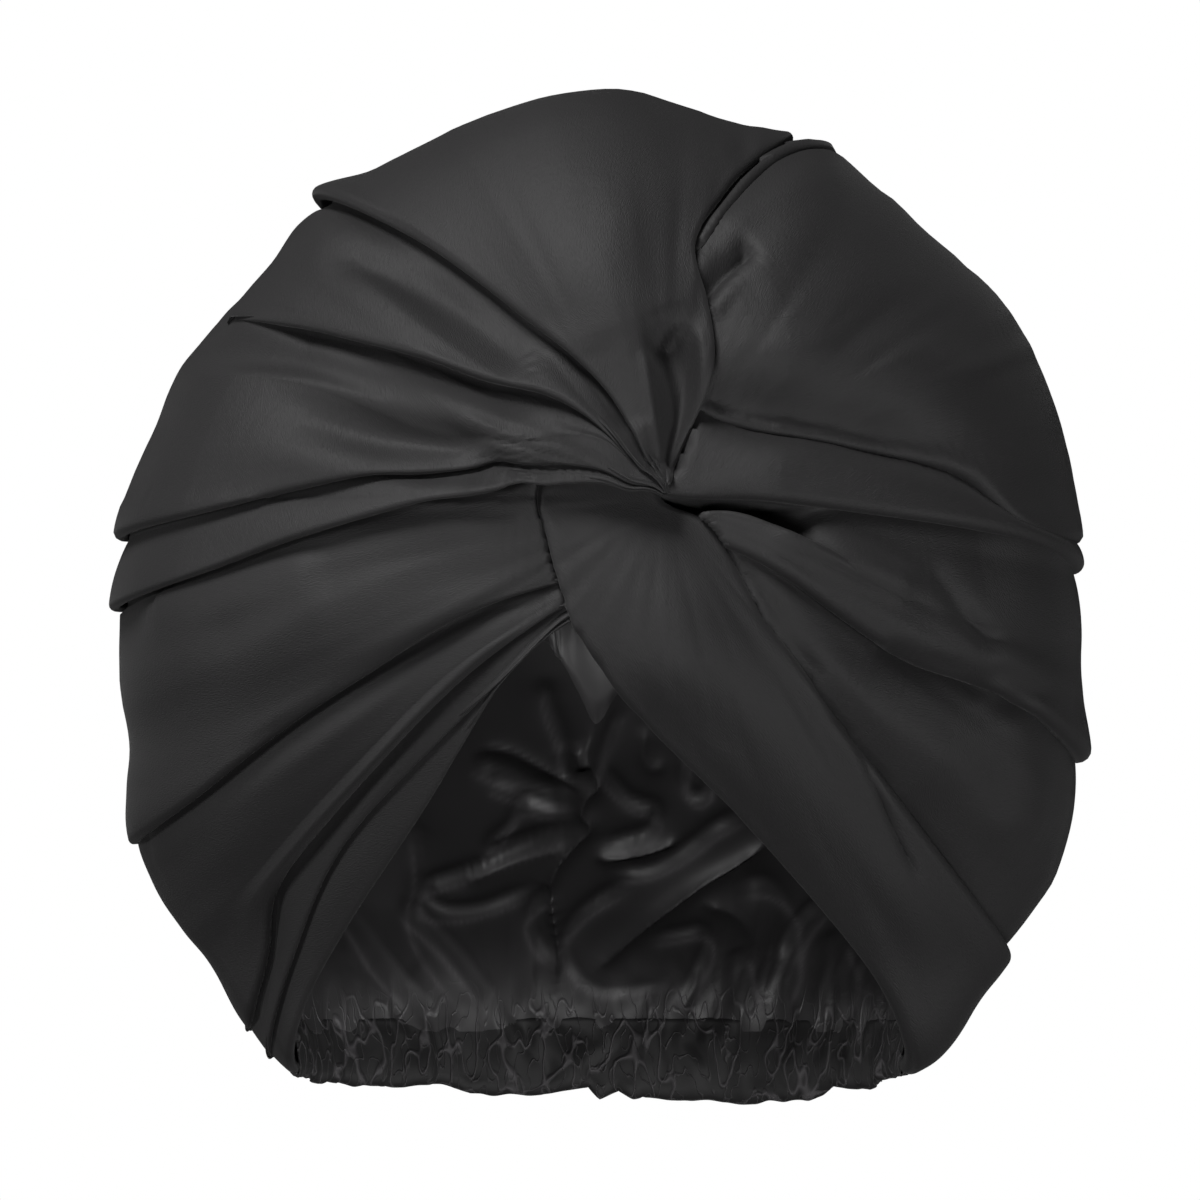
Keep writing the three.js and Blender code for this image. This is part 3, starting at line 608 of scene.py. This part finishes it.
def drawn_in(points, along):
    """Near the hem the back is drawn in to the width of its casing."""
    low = (1 - ease((points[..., 2] - 4) / 40)) * ease(np.minimum(along, 1 - along) / 0.12)
    degrees = level_angle(points[..., 2] - CENTRE_HEIGHT, 1)
    half = outline_radius(degrees) * np.cos(np.radians(degrees))
    share = mix(1, (HEM_HALF_WIDTH + HEM_SLACK) / half, low * (half > HEM_HALF_WIDTH))
    return points * np.stack([share, np.ones_like(share), np.ones_like(share)], axis=-1)


def back_grid(columns, rows, bottom, inset):
    """Front-view places of a grid over the back, with its shares along and up."""
    corner, low_left, low_right = 38, 234.5, -53

    def edge(degrees):
        return back_edge(degrees, seam_turn(degrees) - inset)

    along, up = np.meshgrid(np.linspace(0, 1, columns + 1), np.linspace(0, 1, rows + 1))
    up = mix(up, up**2, 0.6)
    left = edge(mix(low_left, 180 - corner, up))
    right = edge(mix(low_right, corner, up))
    left[..., 1] = np.maximum(left[..., 1], bottom)
    right[..., 1] = np.maximum(right[..., 1], bottom)
    top = edge(mix(180 - corner, corner, along))
    corners = [edge(np.array(float(a))) for a in (low_left, low_right, 180 - corner, corner)]
    corners[0][1] = corners[1][1] = bottom
    a, b = along[..., None], up[..., None]
    low = np.stack([mix(corners[0][0], corners[1][0], along), np.full(along.shape, bottom)], axis=-1)
    place = (mix(left, right, a) + mix(low, top, b)
             - mix(mix(corners[0], corners[1], a), mix(corners[2], corners[3], a), b))
    return place, along, up


def back_sheet(columns, rows, bottom, inset, relief, covers):
    """A sheet over the back with its relief, under its covers and drawn in at the hem."""
    place, along, up = back_grid(columns, rows, bottom, inset)
    edge = np.minimum(np.minimum(along, 1 - along), (1 - up) * 0.8) * 2
    spot = back_map(place[..., 0], place[..., 1])
    height = relief(place[..., 0], place[..., 1], along, up, edge)
    height = room_under(covers, spot[..., 0], spot[..., 1], height)
    return drawn_in(lifted(spot[..., 0], spot[..., 1], height), along)


def hem_gathers(way, z):
    """Puckers of the gathered hem: low satin loops, mostly upright."""
    drift = way + 2.6 * noise(way / 11, z / 8, 31)
    return 0.9 * noise(drift / 3.4, z / 9, 32) + 0.8 * noise(drift / 7, z / 14, 34)


def hem_point(way, z, offset):
    """A place on the hem: way round from the middle of the back, height, offset outwards."""
    swing = np.radians(HEM_SWING * way / HEM_WAY)
    flare = HEM_FLARE * ease(z / HEM_TOP) + offset
    return np.stack([(HEM_HALF_WIDTH + flare) * np.sin(swing),
                     RIM_Y + (HEM_DEPTH + flare) * np.sign(np.cos(swing))
                     * np.abs(np.cos(swing)) ** FRONT_ROUNDNESS, z], axis=-1)


def sewn_to_hem(points, offset, reach, bottom):
    """The lower edge of a sheet brought onto the hem and gathered with it.

    The lining ends behind the inner face of the casing, along a wandering line.
    """
    low = points[:1, :, 2]
    share = 1 - ease((points[..., 2] - low) / reach)
    z = points[..., 2] - (low - bottom) * share
    swing = np.arcsin(np.clip(points[..., 0] / (HEM_HALF_WIDTH + HEM_FLARE + offset), -0.9998, 0.9998))
    way = np.degrees(swing) / HEM_SWING * HEM_WAY
    lean = offset + 0.6 * noise(way / 5, 0, 35)
    seat = hem_point(way, z, lean - hem_gathers(way, z))
    return mix(points, seat, share[..., None])


def panel_relief(x, z, along, up, edge):
    fan = along * 250
    gather = noise(fan / 7, up * 3, 41) + 0.6 * noise(fan / 4, up * 4, 42)
    soft = 1.2 * noise(along * 6, up * 5, 43)
    seam = 1.5 * np.exp(-((x / 3) ** 2))
    gather = 1.5 * gather * mix(1, 0.12, ease(up / 0.6)) * ease(edge / 0.1)
    return -1.2 + gather + soft * ease(edge / 0.2) - seam - 2.6 * (1 - ease(edge / 0.1))


def lining_painted_highlights(points):
    """How much each point of the lining lies on the crest of one of its raised folds, as a painted
    highlight that lightens its colour there.
    """
    raised = [fold for fold in LINING_FOLDS if fold["height"] > 0]
    narrow = [dict(path=fold["path"], width=0.55, height=0.5) for fold in raised]
    return np.clip(stroke_relief(points[..., 0], points[..., 2], narrow, crest=0.3), 0, 1)


def lining_relief(x, z, along, up, edge):
    low = 1 - ease((z - LINING_BOTTOM) / 34)
    gather = creases(x / 7 + 0.4 * noise(x / 20, z / 20, 51), z / 30, 52) * 1.6 * low
    soft = 1.6 * noise(x / 24, z / 40, 53) + 0.7 * noise(x / 11, z / 22, 54)
    folds = stroke_relief(x, z, LINING_FOLDS, crest=0.5)
    return -8.3 - gather - (folds + soft) * ease(edge / 0.1) - 1.6 * (1 - ease(edge / 0.14))


def front_lining(columns, rows, covers):
    """The lining behind the wraps, from the face opening out to the outline."""
    along = np.linspace(0, 1, columns + 1)[:, None] * np.ones(rows + 1)
    out = np.ones(columns + 1)[:, None] * np.linspace(0, 1, rows + 1)
    curve, _ = smooth_curve([map_point(x, z) for x, z in LINING_EDGE], columns + 1)
    degrees = mix(235.5, -53.5, along)
    end = rim_point(degrees, mix(1, seam_turn(degrees), 0.3))
    spot = mix(curve[:, None, :], end, out[..., None])
    tip = np.exp(-(((along - 0.5) / 0.12) ** 2))
    height = mix(-7.6, -6, tip) - mix(1.5, 4, tip) * ease(out / 0.12)
    height = height + 0.5 * noise(along * 34, out * 3, 9) * ease(out / 0.1)
    height = room_under(covers, spot[..., 0], spot[..., 1], height)
    return lifted(spot[..., 0], spot[..., 1], height)


def hem_casing(stations):
    """The gathered strip folded round its elastic, from corner to corner of the back.

    Its inner face runs up behind the lining, so that their puckers join.
    """
    inner = [(1.15, 1.3), (1.08, 0.9), (1.0, 0.4)]
    inner += [(float(up), -0.8 - 0.2 * float(ease((0.9 - up) / 0.2))) for up in np.linspace(0.93, 0.12, 26)]
    section = inner + [(0.06, -0.75), (0.02, -0.4), (0, 0), (0.02, 0.4), (0.06, 0.75), (0.12, 0.95)]
    section += [(float(up), 1.0) for up in np.linspace(0.22, 0.82, 10)]
    table = np.array(HEM_EDGE, float)
    way = np.linspace(-HEM_WAY, HEM_WAY, stations + 1)
    seat = hem_point(way, 0 * way, 0)
    bottom = np.interp(seat[:, 0], table[:, 0], table[:, 1]) + 0.5 * noise(way / 4, 0, 61)
    rows = []
    for number, (up, side) in enumerate(section):
        outside = number > len(inner) + 2
        z = mix(bottom, HEM_TOP, up)
        gathers = hem_gathers(way, z + 40 if outside else z)
        puffed = HEM_PAD * side + (gathers if outside else -gathers)
        rows.append(hem_point(way, z, puffed * ease((HEM_WAY - np.abs(way)) / 6 + 0.3)))
    return np.stack(rows, axis=1)


# Materials
def linear(colour):
    """An sRGB hex colour as linear red, green, blue and alpha."""
    channels = [int(colour[n:n + 2], 16) / 255 for n in (1, 3, 5)]
    return [c / 12.92 if c <= 0.04045 else ((c + 0.055) / 1.055) ** 2.4 for c in channels] + [1.0]


def add_node(tree, kind, links=None, **settings):
    """A node with socket values and links given by input name."""
    node = tree.nodes.new(kind)
    for name, value in settings.items():
        if hasattr(node, name):
            setattr(node, name, value)
        else:
            node.inputs[name.replace("_", " ")].default_value = value
    for name, socket in (links or {}).items():
        tree.links.new(socket, node.inputs[name])
    return node


def satin(name, colour, roughness, grain):
    """Black satin: a low sheen, with fine threads that break up its highlights."""
    material = bpy.data.materials.new(name)
    material.use_nodes = True
    tree = material.node_tree
    tree.nodes.clear()
    out = add_node(tree, "ShaderNodeOutputMaterial")
    weave = add_node(tree, "ShaderNodeUVMap", uv_map="weave")
    threads = add_node(tree, "ShaderNodeMapping", {"Vector": weave.outputs["UV"]},
                       Scale=(3000, 700, 1))
    grains = add_node(tree, "ShaderNodeTexNoise", {"Vector": threads.outputs["Vector"]},
                      Scale=1.0, Detail=3.0)
    bump = add_node(tree, "ShaderNodeBump", {"Height": grains.outputs["Fac"]},
                    Strength=grain, Distance=0.0002)
    shader = add_node(tree, "ShaderNodeBsdfPrincipled", {"Normal": bump.outputs["Normal"]},
                      Roughness=roughness)
    shader.inputs["Base Color"].default_value = linear(colour)
    shader.inputs["Specular IOR Level"].default_value = 0.5
    shader.inputs["Sheen Weight"].default_value = 0.05
    shader.inputs["Sheen Roughness"].default_value = 0.4
    tree.links.new(shader.outputs["BSDF"], out.inputs["Surface"])
    return material


def paint_pucker_highlights(material, colour, bright, top, fade):
    """Paints thin highlight loops into the colour along the puckers that a gathered satin shows.

    They follow the contour lines of a noise stretched upright, up to a height where they fade, and the
    painted crest highlights stored with the sheet; a small bump follows the loops too.
    """
    tree = material.node_tree
    shader = next(node for node in tree.nodes if node.type == "BSDF_PRINCIPLED")
    grain = next(node for node in tree.nodes if node.type == "BUMP")
    place = add_node(tree, "ShaderNodeTexCoord").outputs["Object"]
    lines = []
    for scale, width in (((170, 170, 62), 0.032), ((330, 330, 120), 0.028)):
        stretched = add_node(tree, "ShaderNodeMapping", {"Vector": place}, Scale=scale).outputs["Vector"]
        field = add_node(tree, "ShaderNodeTexNoise", {"Vector": stretched}, Scale=1.0, Detail=0.6)
        centred = add_node(tree, "ShaderNodeMath", operation="SUBTRACT")
        centred.inputs[1].default_value = 0.5
        tree.links.new(field.outputs["Fac"], centred.inputs[0])
        away = add_node(tree, "ShaderNodeMath", operation="ABSOLUTE")
        tree.links.new(centred.outputs[0], away.inputs[0])
        line = add_node(tree, "ShaderNodeMapRange", {"Value": away.outputs[0]},
                        interpolation_type="SMOOTHSTEP")
        for name, value in (("From Min", 0.0), ("From Max", width), ("To Min", 1.0), ("To Max", 0.0)):
            line.inputs[name].default_value = value
        lines.append(line.outputs["Result"])
    both = add_node(tree, "ShaderNodeMath", operation="MULTIPLY_ADD")
    both.inputs[1].default_value = 0.45
    tree.links.new(lines[1], both.inputs[0])
    tree.links.new(lines[0], both.inputs[2])
    height = add_node(tree, "ShaderNodeSeparateXYZ", {"Vector": place}).outputs["Z"]
    low = add_node(tree, "ShaderNodeMapRange", {"Value": height}, interpolation_type="SMOOTHSTEP")
    for name, value in (("From Min", top), ("From Max", top + fade), ("To Min", 1.0), ("To Max", 0.0)):
        low.inputs[name].default_value = value
    masked = add_node(tree, "ShaderNodeMath", operation="MULTIPLY")
    tree.links.new(both.outputs[0], masked.inputs[0])
    tree.links.new(low.outputs["Result"], masked.inputs[1])
    # The painted crest highlights stored with the sheet.
    crest = add_node(tree, "ShaderNodeAttribute", attribute_name="crest").outputs["Fac"]
    total = add_node(tree, "ShaderNodeMath", operation="ADD", use_clamp=True)
    tree.links.new(masked.outputs[0], total.inputs[0])
    tree.links.new(crest, total.inputs[1])
    # Painted highlight: the loops and the crests lighten the base colour.
    tint = add_node(tree, "ShaderNodeMix", {"Factor": total.outputs[0]}, data_type="RGBA")
    tint.inputs[6].default_value = linear(colour)
    tint.inputs[7].default_value = linear(bright)
    tree.links.new(tint.outputs[2], shader.inputs["Base Color"])
    relief = {"Height": masked.outputs[0], "Normal": grain.outputs["Normal"]}
    ridge = add_node(tree, "ShaderNodeBump", relief, Strength=0.7, Distance=0.0007)
    tree.links.new(ridge.outputs["Normal"], shader.inputs["Normal"])


# Matt black satin outside: broad soft highlights, broken up by the grain of the weave.
OUTER = satin("outer satin", OUTER_BLACK, roughness=0.66, grain=0.9)

# Smoother and glossier inside, so that its folds catch thin light lines, which painted highlights
# strengthen; its black is lightened as painted fill light for the shade inside.
INNER = satin("lining satin", LINING_BLACK_PAINTED_FILL, roughness=0.5, grain=0.15)
paint_pucker_highlights(INNER, LINING_BLACK_PAINTED_FILL, LINING_PAINTED_HIGHLIGHT, top=0.006, fade=0.02)

# The hem is the darkest, with painted highlight loops along all its puckers.
HEM = satin("hem satin", HEM_BLACK, roughness=0.66, grain=0.15)
paint_pucker_highlights(HEM, HEM_BLACK, HEM_PAINTED_HIGHLIGHT, top=0.05, fade=0.01)


# Pieces
def piece(name, points, thickness, material, crests=None):
    """One gathered sheet of the scene, in place of the solid of the same name."""
    thing = cloth_object(name + "_cloth", points, thickness, material, crests)
    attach(thing, "root")
    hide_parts(name)
    return thing


def build_turban():
    """The sheets from the outside in, each under those that cover it."""
    u, v, h = band(CROWN_FOLDS, steps=170, cells=[60, 36, 24, 18, 22], settle=crown_settle,
                   dents=CROWN_DENTS, free_start=True, free_end=True, seed=71)
    crown = lifted(u, v, h)
    covers = [(tree_of(crown), CLOTH)]
    u, v, h = band(TWIST_FOLDS, steps=180, cells=[70], settle=twist_settle,
                   dents=TWIST_DENTS, free_start=True, free_end=True, seed=73)
    twist = lifted(u, v, room_under(covers, u, v, h))
    covers = covers + [(tree_of(twist), CLOTH)]
    u, v, h = band(LEFT_FOLDS, steps=170, cells=[50, 26, 26, 18, 18], settle=left_settle,
                   dents=LEFT_DENTS, free_start=False, free_end=True, seed=75)
    left = lifted(u, v, room_under(covers, u, v, h))
    u, v, h = band(RIGHT_FOLDS, steps=160, cells=[8, 24, 18, 22, 22, 20, 24, 34],
                   settle=right_settle, dents=RIGHT_DENTS, free_start=False, free_end=False, seed=77)
    right = lifted(u, v, room_under(covers, u, v, h))
    covers = covers + [(tree_of(left), CLOTH), (tree_of(right), CLOTH)]
    panel = back_sheet(260, 90, PANEL_BOTTOM, inset=0.05, relief=panel_relief, covers=covers)
    front = front_lining(160, 40, covers)
    panel = sewn_to_hem(panel, offset=3.4, reach=30, bottom=PANEL_BOTTOM)
    covers = covers + [(tree_of(panel), CLOTH)]
    lining = back_sheet(236, 190, LINING_BOTTOM, inset=0.2, relief=lining_relief, covers=covers)
    lining = sewn_to_hem(lining, offset=-0.9, reach=32, bottom=LINING_BOTTOM)
    # Painted highlights along the crests of the lining's folds.
    crests = lining_painted_highlights(lining)
    casing = hem_casing(700)
    piece("crown_wrap", crown, CLOTH, OUTER)
    piece("twist_band", twist, CLOTH, OUTER)
    piece("left_wrap", left, CLOTH, OUTER)
    piece("right_wrap", right, CLOTH, OUTER)
    piece("back_panel", panel, CLOTH, OUTER)
    piece("front_lining", front, LINING, INNER)
    piece("back_lining", lining, LINING, INNER, crests=crests)
    piece("hem_casing", casing, HEM_CLOTH, HEM)


# Floor, light and camera
def glowing(name, colour, strength):
    material = bpy.data.materials.new(name)
    material.use_nodes = True
    tree = material.node_tree
    tree.nodes.clear()
    out = add_node(tree, "ShaderNodeOutputMaterial")
    shader = add_node(tree, "ShaderNodeEmission", Strength=strength)
    shader.inputs["Color"].default_value = linear(colour)
    tree.links.new(shader.outputs["Emission"], out.inputs["Surface"])
    return material


def soft_light(name, place, target, size, watts):
    data = bpy.data.lights.new(name, "AREA")
    data.shape = "DISK"
    data.size = size
    data.energy = watts
    light = bpy.data.objects.new(name, data)
    light.location = place
    light.rotation_euler = (Vector(target) - Vector(place)).to_track_quat("-Z", "Y").to_euler()
    bpy.context.collection.objects.link(light)
    return light


def sphere(build):
    bmesh.ops.create_uvsphere(build, u_segments=48, v_segments=24, radius=BACKDROP_RADIUS)


def disc(build):
    bmesh.ops.create_circle(build, cap_ends=True, segments=64, radius=FLOOR_RADIUS)
    bmesh.ops.translate(build, verts=build.verts, vec=(0, 0, -FLOOR_DROP))


def surrounding(name, shape, material):
    """A stage object that the camera sees, but that neither lights the cloth nor dims it."""
    mesh = bpy.data.meshes.new(name)
    build = bmesh.new()
    shape(build)
    build.to_mesh(mesh)
    build.free()
    thing = bpy.data.objects.new(name, mesh)
    bpy.context.collection.objects.link(thing)
    mesh.materials.append(material)
    for kind in ("diffuse", "glossy", "shadow", "transmission"):
        setattr(thing, "visible_" + kind, False)


def build_stage():
    """A plain pale surrounding, and soft lamps above, at both sides and in front."""
    pale = glowing("pale backdrop", "#ffffff", 1.0)
    surrounding("backdrop", sphere, pale)
    surrounding("floor", disc, pale)
    bpy.context.scene.view_settings.view_transform = "Standard"
    world = bpy.data.worlds.new("soft room")
    bpy.context.scene.world = world
    world.use_nodes = True
    background = world.node_tree.nodes["Background"]
    background.inputs["Color"].default_value = linear("#ffffff")
    background.inputs["Strength"].default_value = 0.04
    middle = (0.0, 0.0, CENTRE_HEIGHT * MM)
    soft_light("overhead softbox", (-0.8, -0.9, 2.25), middle, size=1.1, watts=55)
    soft_light("left softbox", (-2.6, -0.7, 0.0), middle, size=0.7, watts=20)
    soft_light("right softbox", (2.3, -1.1, -0.9), middle, size=0.7, watts=23)
    soft_light("front softbox", (-0.1, -3.6, -1.1), middle, size=1.6, watts=60)


def build_camera():
    """The photo's level view, with its full width measured at the widest ring."""
    data = bpy.data.cameras.new("camera")
    data.sensor_width = SENSOR
    data.lens = SENSOR * (CAMERA_DISTANCE + RIM_Y * MM) / VIEW_WIDTH
    camera = bpy.data.objects.new("camera", data)
    camera.location = (0, -CAMERA_DISTANCE, CAMERA_HEIGHT)
    camera.rotation_euler = (math.radians(90), 0, 0)
    bpy.context.collection.objects.link(camera)
    bpy.context.scene.camera = camera


build_turban()
build_stage()
build_camera()
